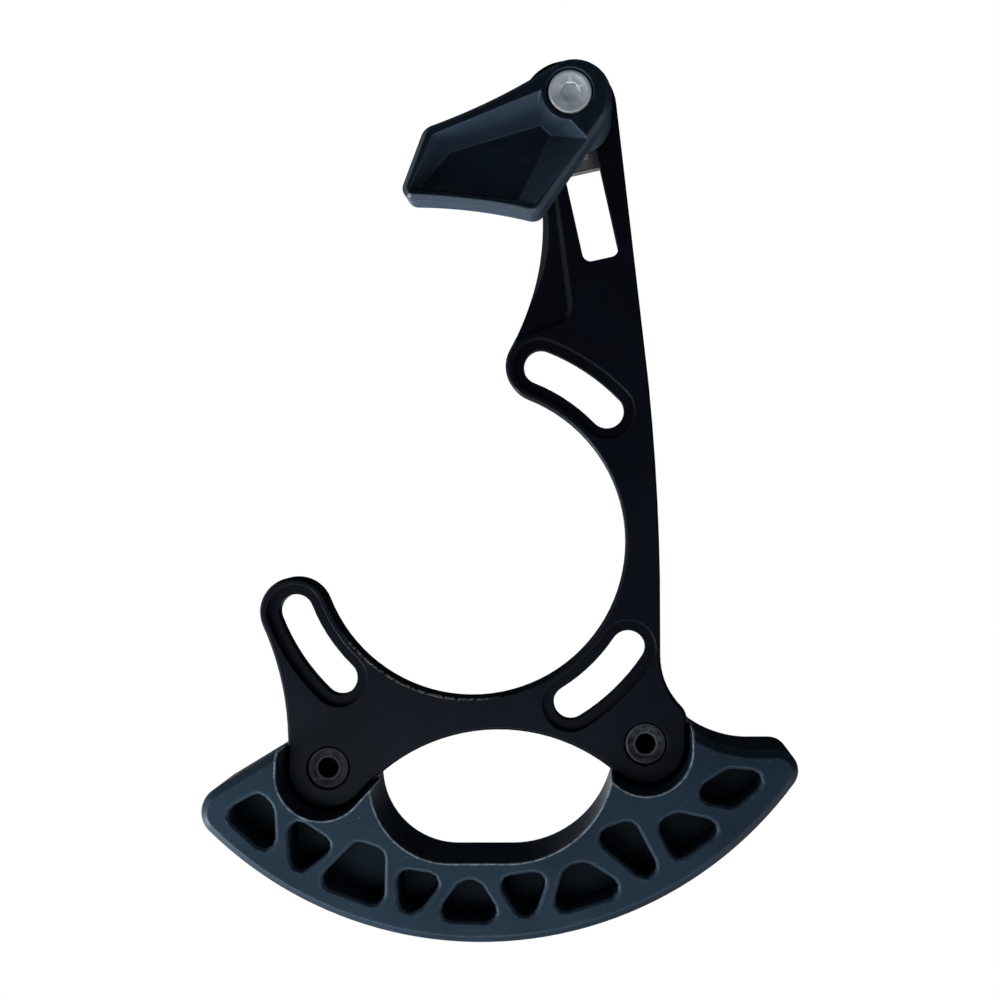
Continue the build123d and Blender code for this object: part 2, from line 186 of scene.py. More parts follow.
class Graph:
    """Node tree of one material or of the world, filled from Python expressions."""

    def __init__(self, tree: bpy.types.NodeTree) -> None:
        """Start from an empty tree."""
        self.tree = tree
        self.tree.nodes.clear()

    def node(self, kind: str, settings: dict[str, object], sockets: Sockets) -> bpy.types.Node:
        """Add a node.

        Args:
            kind: Type of the node.
            settings: Its properties, which are set first.
            sockets: Values or links of its inputs, by identifier, name or number.

        Returns:
            The new node.
        """
        node = self.tree.nodes.new(kind)
        for key, value in settings.items():
            setattr(node, key, value)
        by_identifier = {socket.identifier: socket for socket in node.inputs}
        for key, value in sockets.items():
            socket = by_identifier[key] if key in by_identifier else node.inputs[key]
            if isinstance(value, Shade):
                self.tree.links.new(value.socket, socket)
            else:
                socket.default_value = value
        return node

    def value(self, node: bpy.types.Node, name: str | int = 0) -> Shade:
        """Value of one output of a node."""
        return Shade(self, node.outputs[name])

    def place(self, centre: Vector = Vector(), stretch: Triple = (1, 1, 1)) -> Shade:
        """Object coordinates in millimetres.

        Args:
            centre: Point in metres that becomes the origin.
            stretch: Factors on the three axes.

        Returns:
            The coordinates as a vector.
        """
        coordinates = self.value(self.node("ShaderNodeTexCoord", {}, {}), "Object")
        scale = Vector(stretch) * PER_MM
        sockets = {"Vector": coordinates, "Location": -centre * scale, "Scale": scale}
        return self.value(self.node("ShaderNodeMapping", {"vector_type": "POINT"}, sockets))

    def parts(self, vector: Shade) -> tuple[Shade, Shade, Shade]:
        """The three components of a vector."""
        node = self.node("ShaderNodeSeparateXYZ", {}, {"Vector": vector})
        return self.value(node, 0), self.value(node, 1), self.value(node, 2)

    def join(self, x: Shade | Number, y: Shade | Number, z: Shade | Number) -> Shade:
        """Vector from three components."""
        return self.value(self.node("ShaderNodeCombineXYZ", {}, {"X": x, "Y": y, "Z": z}))

    def polar(self, place: Shade) -> tuple[Shade, Shade]:
        """Radius and angle of a place about the Y axis."""
        x, _, z = self.parts(place)
        return (x * x + z * z) ** 0.5, z.math("ARCTAN2", x)

    def swept(self, place: Shade, stretch: Pair) -> Shade:
        """Coordinates of a place along the radius and round the Y axis, with a factor on each."""
        radius, angle = self.polar(place)
        return self.join(radius * stretch[0], angle * stretch[1], 0.0)

    def noise(self, place: Shade, mottle: Mottle) -> Shade:
        """Noise between 0 and 1 in a pattern, at some coordinates."""
        sockets = {"Scale": mottle.scale, "Detail": mottle.detail, "Roughness": mottle.roughness}
        return self.value(self.node("ShaderNodeTexNoise", {}, {"Vector": place, **sockets}))

    def blend(self, factor: Shade, low: Shade | Colour, high: Shade | Colour) -> Shade:
        """Colour between two colours.

        Args:
            factor: 0 for the first colour, 1 for the second.
            low: First colour.
            high: Second colour.

        Returns:
            The mixed colour.
        """
        sockets = {"Factor_Float": factor, "A_Color": low, "B_Color": high}
        node = self.node("ShaderNodeMix", {"data_type": "RGBA"}, sockets)
        return Shade(self, next(socket for socket in node.outputs if socket.identifier == "Result_Color"))

    def facing(self) -> Shade:
        """Y component of the surface's normal."""
        return self.parts(self.value(self.node("ShaderNodeNewGeometry", {}, {}), "Normal"))[1]

    def soft_normal(self, radius: float) -> Shade:
        """Normal with the edges rounded by a radius in metres."""
        return self.value(self.node("ShaderNodeBevel", {"samples": BEVEL_SAMPLES}, {"Radius": radius}))

    def _enclosed(self, reach: float, samples: int, inside: bool) -> Shade:
        """Share of the rays from a point that meet the same object.

        Args:
            reach: Length of the rays in metres.
            samples: Number of rays.
            inside: Whether the rays go into the body instead of out of it.

        Returns:
            The share from 0 to 1.
        """
        settings = {"samples": samples, "inside": inside, "only_local": True}
        node = self.node("ShaderNodeAmbientOcclusion", settings, {"Distance": reach})
        return 1 - self.value(node, "AO")

    def convex(self, reach: float) -> Shade:
        """Mask of outer edges: 0 on flats, rising to 1 within a reach in metres of an edge."""
        return self._enclosed(reach, EDGE_SAMPLES, True)

    def occlusion(self, reach: float) -> Shade:
        """Mask of hollows, for painting shade into them: 0 in the open, rising to 1 where walls within a
        reach in metres close in.
        """
        return self._enclosed(reach, SHADE_SAMPLES, False)

    def bump(self, height: Shade, distance: float, normal: Shade) -> Shade:
        """Normal tilted by a height.

        Args:
            height: Height from 0 to 1.
            distance: Depth in metres of a height of 1.
            normal: Normal that it starts from.

        Returns:
            The tilted normal.
        """
        sockets = {"Height": height, "Strength": 1.0, "Distance": distance, "Normal": normal}
        return self.value(self.node("ShaderNodeBump", {}, sockets))

    def mix(self, factor: Shade, low: Shade, high: Shade) -> Shade:
        """Shader between two shaders, by a factor."""
        return self.value(self.node("ShaderNodeMixShader", {}, {0: factor, 1: low, 2: high}))

    def surface(self, sockets: Sockets, painted_shade: Shade | None = None) -> None:
        """End the tree in one Principled shader.

        Args:
            sockets: Values or links of its inputs.
            painted_shade: Mask of places painted black as shade, if there are any.
        """
        shader = self.value(self.node("ShaderNodeBsdfPrincipled", {}, sockets))
        # Painted shade: where a mask is given, the surface fades to plain black.
        if painted_shade is not None:
            black = self.value(self.node("ShaderNodeBsdfDiffuse", {}, {"Color": SHADE_BLACK}))
            shader = self.mix(painted_shade, shader, black)
        self.node("ShaderNodeOutputMaterial", {}, {"Surface": shader})


def new_graph(name: str) -> tuple[bpy.types.Material, Graph]:
    """New material of a name, with the graph of its empty tree."""
    material = bpy.data.materials.new(name)
    material.use_nodes = True
    return material, Graph(material.node_tree)


# The finishes measure radii, and the bands along them, in millimetres, as Graph.place does.


@dataclass(frozen=True)
class BlackAnodised:
    """Milled aluminium, black anodised, worn bare on its edges and on a stretch of its opening."""

    film: Colour = (0.0012, 0.0020, 0.0046, 1)
    film_worn: Colour = (0.0026, 0.0040, 0.0076, 1)
    bare: Colour = (0.42, 0.44, 0.46, 1)
    tint: Colour = (0.74, 0.88, 1.0, 1)
    specular: float = 0.115
    roughness: float = 0.29
    lap_roughness: float = 0.10
    lap_depth: float = 0.004 * MM
    wear: float = 0.9
    wear_metal: float = 0.9
    wear_polish: float = 0.06
    wear_reach: float = 0.35 * MM
    edge_round: float = 0.22 * MM
    opening_radius: float = 30.2
    rub_angle: float = -1.95
    cloud: Mottle = Mottle(0.09, 4.0)
    laps: Mottle = Mottle(3.2, 4.0, 0.65)
    lap_stretch: Triple = (0.25, 1, 1.6)
    chips: Mottle = Mottle(1.3, 5.0, 0.7)
    cloud_band: Band = Band(0.35, 0.7)
    edge_band: Band = Band(0.28, 0.62)
    chip_band: Band = Band(0.46, 0.64)
    rub_width: Band = Band(0.10, 0.26)
    rub_span: Band = Band(0.25, 0.60)
    rub_chip_band: Band = Band(0.44, 0.58)

    def material(self) -> bpy.types.Material:
        """Build the material."""
        material, g = new_graph("black_anodised")
        place = g.place()
        laps = g.noise(g.place(stretch=self.lap_stretch), self.laps)
        chips = g.noise(place, self.chips)
        edges = g.convex(self.wear_reach).step(self.edge_band) * chips.step(self.chip_band) * self.wear
        radius, angle = g.polar(place)
        opening = radius.near(self.opening_radius, self.rub_width) * angle.near(self.rub_angle, self.rub_span)
        worn = edges.math("MAXIMUM", opening * chips.step(self.rub_chip_band))
        cloud = g.noise(place, self.cloud).step(self.cloud_band)
        film = g.blend(cloud, self.film, self.film_worn)
        g.surface({
            "Base Color": g.blend(worn, film, self.bare),
            "Metallic": worn * self.wear_metal,
            "Roughness": self.roughness + self.lap_roughness * laps - self.wear_polish * worn,
            "Specular IOR Level": self.specular,
            "Specular Tint": self.tint,
            "Normal": g.bump(laps, self.lap_depth, g.soft_normal(self.edge_round)),
        })
        return material


@dataclass(frozen=True)
class SatinMoulding:
    """Slate-blue moulded plastic of the guard, with a fine spark-eroded grain, painted shade in its pockets,
    and pale edges that are partly rubbed wear and partly a painted highlight.
    """

    body: Colour = (0.0080, 0.0180, 0.0325, 1)
    shade: Colour = (0.0048, 0.0118, 0.0220, 1)
    # Colour of the painted shade in the pockets and hollows.
    hollow_shade: Colour = (0.0008, 0.0034, 0.0080, 1)
    # Colour of rubbed wear, scratches and specks, and of the painted edge highlight.
    rubbed: Colour = (0.250, 0.295, 0.340, 1)
    tint: Colour = (0.60, 0.84, 1.0, 1)
    specular: float = 0.17
    roughness: float = 0.40
    flow_roughness: float = 0.14
    flow_height: float = 0.3
    grain_height: float = 0.7
    relief: float = 0.012 * MM
    rub: float = 0.9
    edge_highlight_share: float = 0.34
    rub_polish: float = 0.16
    rub_reach: float = 0.50 * MM
    scratch_share: float = 0.045
    speck_share: float = 0.3
    edge_round: float = 0.14 * MM
    hollow_shade_reach: float = 7.0 * MM
    cloud: Mottle = Mottle(0.07)
    flow: Mottle = Mottle(1.0, 4.0, 0.6)
    flow_stretch: Pair = (1.1, 9.0)
    grain: Mottle = Mottle(7.0, 2.0, 0.5)
    scratches: Mottle = Mottle(1.0, 2.0, 0.5)
    scratch_stretch: Pair = (6.0, 5.0)
    patches: Mottle = Mottle(0.9, 4.0)
    specks: Mottle = Mottle(1.9, 2.0, 0.4)
    cloud_band: Band = Band(0.3, 0.7)
    hollow_shade_band: Band = Band(0.30, 0.72)
    edge_band: Band = Band(0.06, 0.26)
    patch_band: Band = Band(0.35, 0.65)
    scratch_band: Band = Band(0.60, 0.74)
    speck_band: Band = Band(0.745, 0.80)

    def material(self) -> bpy.types.Material:
        """Build the material."""
        material, g = new_graph("satin_moulding")
        place = g.place()
        flow = g.noise(g.swept(place, self.flow_stretch), self.flow)
        grain = g.noise(place, self.grain)
        patches = g.noise(place, self.patches).step(self.patch_band)
        # Pale edges: patches of rubbed wear, plus a painted highlight that pales every outer edge by a fixed
        # least share.
        edges = g.convex(self.rub_reach).step(self.edge_band)
        rub = edges * (self.edge_highlight_share + (1 - self.edge_highlight_share) * patches)
        cloud = g.noise(place, self.cloud).step(self.cloud_band)
        body = g.blend(cloud, self.shade, self.body)
        # Painted shade: the colour darkens towards the hollow colour in pockets and hollows, where shade
        # falls.
        body = g.blend(g.occlusion(self.hollow_shade_reach).step(self.hollow_shade_band), body, self.hollow_shade)
        scratches = g.noise(g.swept(place, self.scratch_stretch), self.scratches).step(self.scratch_band)
        specks = g.noise(place, self.specks).step(self.speck_band)
        streaked = g.blend(scratches * self.scratch_share + specks * self.speck_share, body, self.rubbed)
        relief = self.grain_height * grain + self.flow_height * flow
        g.surface({
            # Painted highlight and rubbed wear on the edges take the pale colour.
            "Base Color": g.blend(rub * self.rub, streaked, self.rubbed),
            "Roughness": self.roughness + self.flow_roughness * flow - self.rub_polish * rub,
            "Specular IOR Level": self.specular,
            "Specular Tint": self.tint,
            "Normal": g.bump(relief, self.relief, g.soft_normal(self.edge_round)),
        })
        return material


@dataclass(frozen=True)
class GlossNavy:
    """Dark navy plastic of the upper guide: glossy faces, side walls painted paler as a sheen, a pin mark and
    handling marks.
    """

    body: Colour = (0.0040, 0.0090, 0.0190, 1)
    deep: Colour = (0.0022, 0.0056, 0.0135, 1)
    # Colour of the painted sheen on the side walls.
    painted_wall_sheen: Colour = (0.0370, 0.0630, 0.1040, 1)
    rubbed: Colour = (0.07, 0.09, 0.12, 1)
    tint: Colour = (0.72, 0.87, 1.0, 1)
    specular: float = 0.42
    roughness: float = 0.28
    mark_roughness: float = 0.08
    fine_roughness: float = 0.05
    side_wall_roughness: float = 0.08
    fine_height: float = 0.04
    groove_height: float = 0.5
    relief: float = 0.035 * MM
    wall_sheen_least: float = 0.6
    rub: float = 0.3
    rub_reach: float = 0.5 * MM
    edge_round: float = 0.45 * MM
    pin_mark: Vector = Vector((-0.0050, -0.0240, 0.0652))
    pin_radius: float = 2.0
    cloud: Mottle = Mottle(0.12)
    peel: Mottle = Mottle(0.55, 2.0)
    fine: Mottle = Mottle(5.0)
    marks: Mottle = Mottle(0.5, 5.0, 0.6)
    mark_stretch: Triple = (0.7, 1, 1.2)
    patches: Mottle = Mottle(1.1, 4.0)
    cloud_band: Band = Band(0.3, 0.7)
    edge_band: Band = Band(0.3, 0.8)
    patch_band: Band = Band(0.52, 0.70)
    groove_band: Band = Band(0.05, 0.28)
    side_wall_band: Band = Band(0.50, 0.86)
    mark_band: Band = Band(0.4, 0.7)

    def material(self) -> bpy.types.Material:
        """Build the material."""
        material, g = new_graph("gloss_navy")
        place = g.place()
        fine = g.noise(place, self.fine)
        marks = g.noise(g.place(stretch=self.mark_stretch), self.marks)
        patches = g.noise(place, self.patches).step(self.patch_band)
        rub = g.convex(self.rub_reach).step(self.edge_band) * patches
        groove = g.polar(g.place(self.pin_mark))[0].near(self.pin_radius, self.groove_band)
        # Painted sheen: walls that stand across the plate get a paler colour that stands in for light on
        # them, varied by the handling marks.
        side_walls = g.facing().near(0.0, self.side_wall_band)
        cloud = g.noise(place, self.cloud).step(self.cloud_band)
        body = g.blend(cloud, self.deep, self.body)
        with_wall_sheen = g.blend(side_walls * (self.wall_sheen_least + (1 - self.wall_sheen_least) * marks), body, self.painted_wall_sheen)
        gloss = self.roughness + self.mark_roughness * marks.step(self.mark_band)
        relief = g.noise(place, self.peel) + self.fine_height * fine - self.groove_height * groove
        g.surface({
            "Base Color": g.blend(rub * self.rub, with_wall_sheen, self.rubbed),
            "Roughness": gloss + self.fine_roughness * fine + self.side_wall_roughness * side_walls,
            "Specular IOR Level": self.specular,
            "Specular Tint": self.tint,
            "Normal": g.bump(relief, self.relief, g.soft_normal(self.edge_round)),
        })
        return material


@dataclass(frozen=True)
class TurnedSteel:
    """Plated or blackened steel with turning rings, and for some bolts painted highlight rings and a socket
    painted black as shade.
    """

    name: str
    colour: Colour
    worn: Colour
    metallic: float
    roughness: float
    specular: float = 0.5
    # Radius of the socket that is painted black as shade; 0 for none.
    socket_radius: float = 0.0
    # Radii of painted highlight rings on the head.
    highlight_rims: tuple[float, ...] = ()
    rings_per_mm: float = 5.0
    ring_depth: float = 0.006 * MM
    ring_roughness: float = 0.08
    blotch: float = 0.5
    blotch_roughness: float = 0.14
    rub: float = 0.7
    rub_polish: float = 0.05
    rub_reach: float = 0.25 * MM
    edge_round: float = 0.12 * MM
    socket_shade_fade: float = 0.92
    rings: Mottle = Mottle(1.0, 4.0, 0.7)
    blotches: Mottle = Mottle(0.8, 4.0)
    blotch_band: Band = Band(0.35, 0.7)
    edge_band: Band = Band(0.3, 0.7)
    highlight_rim_band: Band = Band(0.08, 0.22)

    def material(self, axes: list[Vector]) -> bpy.types.Material:
        """Build the material.

        Args:
            axes: A point on the axis of each fastener that wears it.

        Returns:
            The material.
        """
        material, g = new_graph(self.name)
        radius, *others = [g.polar(g.place(axis))[0] for axis in axes]
        for other in others:
            radius = radius.math("MINIMUM", other)
        rings = g.noise(g.join(radius * self.rings_per_mm, 0.0, 0.0), self.rings)
        blotches = g.noise(g.place(), self.blotches)
        rub = g.convex(self.rub_reach).step(self.edge_band)
        # Painted highlight: pale rings at given radii stand in for light on the rims of the head and socket.
        for highlight_rim in self.highlight_rims:
            rub = rub.math("MAXIMUM", radius.near(highlight_rim, self.highlight_rim_band))
        shade = g.blend(blotches.step(self.blotch_band) * self.blotch, self.colour, self.worn)
        patina = self.roughness + self.blotch_roughness * blotches
        # Painted shade: the bolt's socket is shown plain black, where shade falls in it.
        painted_shade = None
        if self.socket_radius:
            painted_shade = 1 - radius.step(Band(self.socket_shade_fade * self.socket_radius, self.socket_radius))
        g.surface({
            # Rubbed wear on the edges and the painted highlight rings take the worn colour.
            "Base Color": g.blend(rub * self.rub, shade, self.worn),
            "Metallic": self.metallic,
            "Specular IOR Level": self.specular,
            "Roughness": patina + self.ring_roughness * rings - self.rub_polish * rub,
            "Normal": g.bump(rings, self.ring_depth, g.soft_normal(self.edge_round)),
        }, painted_shade)
        return material


def linked(name: str, data: bpy.types.ID) -> bpy.types.Object:
    """New object of a name for some data, linked to the scene."""
    item = bpy.data.objects.new(name, data)
    bpy.context.scene.collection.objects.link(item)
    return item


def aimed(at: Vector, towards: Vector, axis: str) -> Matrix:
    """Placement that turns one axis to a point.

    Args:
        at: Place.
        towards: Point that the axis looks at.
        axis: Name of the axis.

    Returns:
        The placement.
    """
    return Matrix.Translation(at) @ (towards - at).to_track_quat(axis, "Y").to_matrix().to_4x4()


def sheet(name: str, corners: list[Vector], material: bpy.types.Material) -> bpy.types.Object:
    """One face of four corners in a material, linked to the scene under a name."""
    data = bpy.data.meshes.new(name)
    data.from_pydata(corners, [], [(0, 1, 2, 3)])
    data.materials.append(material)
    return linked(name, data)


def plain_piece(name: str, item: bpy.types.Object) -> bpy.types.Object:
    """Keep the result of an object's modifiers as one plain mesh, and remove the object.

    Args:
        name: Name of the piece.
        item: Object with modifiers.

    Returns:
        The finished piece.
    """
    evaluated = item.evaluated_get(bpy.context.evaluated_depsgraph_get())
    data = bpy.data.meshes.new_from_object(evaluated)
    data.name = name
    piece = linked(name, data)
    item.modifiers.clear()
    bpy.data.objects.remove(item)
    return piece


def dress(node: str, material: bpy.types.Material) -> None:
    """Give a solid of the frame its finish in all its material slots."""
    for place in frame["nodes"][node].material_slots:
        place.material = material
    log.info("dressed %s in %s", node, material.name)


def settle(piece: bpy.types.Object, nodes: tuple[str, ...], body: Body, slot: Slot) -> None:
    """Tie a finished piece to its body, and hide the solids that it stands for.

    Args:
        piece: The piece.
        nodes: Solids that it replaces.
        body: Body that it rides on.
        slot: Material slot of the record; not used.
    """
    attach(piece, body.value)
    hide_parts(*nodes)
    log.info("built %s with %d faces", piece.name, len(piece.data.polygons))


def middle(node: str) -> Vector:
    """Middle of a solid's box."""
    low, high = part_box(node)
    return (Vector(low) + Vector(high)) / 2


def on_axis(node: str, y: float) -> Vector:
    """Point at a depth on the line through a solid's middle along Y."""
    centre = middle(node)
    return Vector((centre.x, y, centre.z))


def ring(radius: float, height: float) -> list[Vector]:
    """Round ring of points about the Z axis."""
    turns = [2 * pi * i / ROUND_POINTS for i in range(ROUND_POINTS)]
    return [Vector((radius * cos(a), radius * sin(a), height)) for a in turns]


def hex_reach(angle: float, size: float) -> float:
    """Distance from the centre to the side of a hexagon of a width across flats, at an angle."""
    turn = angle - floor(angle / (pi / 3)) * (pi / 3) - pi / 6
    return size / 2 / cos(turn)


def hex_ring(size: float, height: float) -> list[Vector]:
    """Hexagonal ring of points about the Z axis."""
    turns = [2 * pi * i / ROUND_POINTS for i in range(ROUND_POINTS)]
    return [Vector((hex_reach(a, size) * cos(a), hex_reach(a, size) * sin(a), height)) for a in turns]


def lathe(rings: list[list[Vector]], name: str) -> bpy.types.Object:
    """Closed mesh through rings of points.

    Args:
        rings: Rings in order, all with the same number of points; a ring of one point is a pole.
        name: Name of the object.

    Returns:
        The new object, linked to the scene.
    """
    mesh = bmesh.new()
    rows = [[mesh.verts.new(point) for point in points] for points in rings]
    for low, high in zip(rows, rows[1:]):
        count = max(len(low), len(high))
        for i in range(count):
            j = (i + 1) % count
            corners = [low[i % len(low)], low[j % len(low)], high[j % len(high)], high[i % len(high)]]
            mesh.faces.new(list(dict.fromkeys(corners)))
    bmesh.ops.remove_doubles(mesh, verts=mesh.verts, dist=WELD)
    bmesh.ops.recalc_face_normals(mesh, faces=mesh.faces)
    data = bpy.data.meshes.new(name)
    mesh.to_mesh(data)
    mesh.free()
    data.shade_smooth()
    data.set_sharp_from_angle(angle=CREASE)
    return linked(name, data)


@dataclass(frozen=True)
class Thread:
    """Ridge that winds up a fastener's axis."""

    radius: float
    ridge: float
    start: float
    height: float
    pitch: float


@dataclass
class FastenerSet:
    """Geometry Nodes tree that sets one threaded fastener at each point of a mesh."""

    turn_steps: int = 40
    ridge_sides: int = 4

    def __post_init__(self) -> None:
        """Build the tree."""
        self.tree = bpy.data.node_groups.new("fastener_set", "GeometryNodeTree")
        face = self.tree.interface
        face.new_socket("Geometry", in_out="OUTPUT", socket_type="NodeSocketGeometry")
        face.new_socket("Geometry", in_out="INPUT", socket_type="NodeSocketGeometry")
        sizes = ("Thread Turns", "Thread Radius", "Thread Height", "Thread Start", "Ridge")
        kinds = {"Blank": "NodeSocketObject", **dict.fromkeys(sizes, "NodeSocketFloat")}
        kinds["Finish"] = "NodeSocketMaterial"
        self.inputs = {}
        for name, kind in kinds.items():
            self.inputs[name] = face.new_socket(name, in_out="INPUT", socket_type=kind).identifier
        given = self.tree.nodes.new("NodeGroupInput").outputs
        blank = self._node("GeometryNodeObjectInfo", {"Object": given["Blank"]})
        spiral = self._node("GeometryNodeCurveSpiral", {
            "Resolution": self.turn_steps,
            "Rotations": given["Thread Turns"],
            "Start Radius": given["Thread Radius"],
            "End Radius": given["Thread Radius"],
            "Height": given["Thread Height"],
        })
        start = self._node("ShaderNodeCombineXYZ", {"Z": given["Thread Start"]})
        raised = self._node("GeometryNodeTransform", {
            "Geometry": spiral.outputs[0], "Translation": start.outputs[0],
        })
        section = self._node("GeometryNodeCurvePrimitiveCircle", {
            "Resolution": self.ridge_sides, "Radius": given["Ridge"],
        })
        thread = self._node("GeometryNodeCurveToMesh", {
            "Curve": raised.outputs[0], "Profile Curve": section.outputs[0], "Fill Caps": True,
        })
        whole = self._node("GeometryNodeJoinGeometry", {"Geometry": blank.outputs["Geometry"]})
        self.tree.links.new(thread.outputs[0], whole.inputs[0])
        points = self._node("GeometryNodeMeshToPoints", {"Mesh": given["Geometry"]})
        turned = self._node("GeometryNodeInstanceOnPoints", {
            "Points": points.outputs[0], "Instance": whole.outputs[0], "Rotation": (pi / 2, 0, 0),
        })
        plain = self._node("GeometryNodeRealizeInstances", {"Geometry": turned.outputs[0]})
        finished = self._node("GeometryNodeSetMaterial", {
            "Geometry": plain.outputs[0], "Material": given["Finish"],
        })
        out = self.tree.nodes.new("NodeGroupOutput")
        self.tree.links.new(finished.outputs[0], out.inputs[0])

    def _node(self, kind: str, sockets: dict[str, object]) -> bpy.types.Node:
        """Add a node of the tree.

        Args:
            kind: Type of the node.
            sockets: Values or source sockets of its inputs by name.

        Returns:
            The new node.
        """
        node = self.tree.nodes.new(kind)
        for name, value in sockets.items():
            if isinstance(value, bpy.types.NodeSocket):
                self.tree.links.new(value, node.inputs[name])
            else:
                node.inputs[name].default_value = value
        return node

    def place(self, name: str, points: list[Vector], blank: bpy.types.Object, thread: Thread,
              finish: bpy.types.Material) -> bpy.types.Object:
        """Set a fastener at each point and keep the result as one plain mesh.

        Args:
            name: Name of the piece.
            points: Places of the fasteners' zero, with their axis outboard.
            blank: Fastener without its thread, which is removed.
            thread: Thread of the fastener.
            finish: Material of the piece.

        Returns:
            The finished piece.
        """
        seed = bpy.data.meshes.new(f"{name}_points")
        seed.from_pydata(points, [], [])
        holder = linked(f"{name}_points", seed)
        modifier = holder.modifiers.new("set", "NODES")
        modifier.node_group = self.tree
        values = {
            "Blank": blank,
            "Thread Turns": thread.height / thread.pitch,
            "Thread Radius": thread.radius,
            "Thread Height": thread.height,
            "Thread Start": thread.start,
            "Ridge": thread.ridge,
            "Finish": finish,
        }
        for key, value in values.items():
            modifier[self.inputs[key]] = value
        piece = plain_piece(name, holder)
        bpy.data.objects.remove(blank)
        return piece


@dataclass
class SocketBolt:
    """Low-head socket bolt: round-edged head, chamfered hexagon socket and a threaded end."""

    hex_size: float
    length: float
    head_radius: float = 3.9 * MM
    head_height: float = 2.5 * MM
    head_round: float = 0.45 * MM
    round_steps: int = 6
    seat_chamfer: float = 0.1 * MM
    dish_top_inset: float = 0.72 * MM
    dish_foot_inset: float = 0.99 * MM
    dish_depth: float = 0.12 * MM
    hex_depth: float = 1.7 * MM
    mouth_width: float = 0.10 * MM
    mouth_depth: float = 0.20 * MM
    shank_radius: float = 2.5 * MM
    core_radius: float = 2.2 * MM
    end_chamfer: float = 0.5 * MM
    thread_length: float = 6.0 * MM
    thread_gap: float = 0.1 * MM
    runout: float = 0.3 * MM
    pitch: float = 0.8 * MM

    def blank(self) -> bpy.types.Object:
        """Build the bolt without its thread, along Z with the underside of its head at zero."""
        top = self.head_height
        dish = top - self.dish_depth
        plain = self.length - self.thread_length
        arc = [radians(90 * i / self.round_steps) for i in range(self.round_steps + 1)]
        edge = self.head_radius - self.head_round
        corner = self.hex_size / 2 / cos(pi / 6)
        rings = [
            [Vector((0, 0, -self.length))],
            ring(self.core_radius - self.end_chamfer, -self.length),
            ring(self.core_radius, self.end_chamfer - self.length),
            ring(self.core_radius, -plain),
            ring(self.shank_radius, self.runout - plain),
            ring(self.shank_radius, 0),
            ring(self.head_radius - self.seat_chamfer, 0),
            ring(self.head_radius, self.seat_chamfer),
            *[ring(edge + self.head_round * cos(a), top - self.head_round * (1 - sin(a))) for a in arc],
            ring(self.head_radius - self.dish_top_inset, top),
            ring(self.head_radius - self.dish_foot_inset, dish),
            ring(corner + self.mouth_width, dish),
            hex_ring(self.hex_size, dish - self.mouth_depth),
            hex_ring(self.hex_size, top - self.hex_depth),
            [Vector((0, 0, top - self.hex_depth))],
        ]
        return lathe(rings, "bolt_blank")

    def thread(self) -> Thread:
        """Thread from the bolt's end up to its plain shank."""
        ridge = self.shank_radius - self.core_radius
        height = self.thread_length - self.end_chamfer - ridge - self.thread_gap
        return Thread(self.core_radius, ridge, self.end_chamfer - self.length + ridge, height, self.pitch)


@dataclass
class HexNut:
    """Thin hexagon nut with chamfered corners and a countersunk, threaded bore."""

    size: float = 8.0 * MM
    height: float = 2.7 * MM
    bore_radius: float = 2.55 * MM
    face_radius: float = 3.76 * MM
    cone_radius: float = 3.84 * MM
    corner_slope: float = radians(30)
    countersink: float = 0.3 * MM
    ridge: float = 0.04 * MM
    ridge_inset: float = 0.02 * MM
    pitch: float = 0.8 * MM

    def chamfered(self, level: float, way: int) -> list[Vector]:
        """Hexagonal ring whose corners fall away from a face as a turned cone cuts them.

        Args:
            level: Height of the face.
            way: 1 where the body lies above the face, -1 where it lies below.

        Returns:
            The ring.
        """
        fall = way * tan(self.corner_slope)
        points = hex_ring(self.size, 0)
        return [Vector((p.x, p.y, level + fall * max(p.length - self.cone_radius, 0.0))) for p in points]

    def blank(self) -> bpy.types.Object:
        """Build the nut without its thread, along Z with its outer face at zero."""
        sink = self.bore_radius + self.countersink
        rings = [
            ring(self.bore_radius, self.countersink),
            ring(sink, 0),
            ring(self.face_radius, 0),
            self.chamfered(0, 1),
            self.chamfered(self.height, -1),
            ring(self.face_radius, self.height),
            ring(sink, self.height),
            ring(self.bore_radius, self.height - self.countersink),
        ]
        return lathe([*rings, rings[0]], "nut_blank")

    def thread(self) -> Thread:
        """Thread between the two countersinks."""
        height = self.height - 2 * self.countersink
        return Thread(self.bore_radius + self.ridge_inset, self.ridge, self.countersink, height, self.pitch)


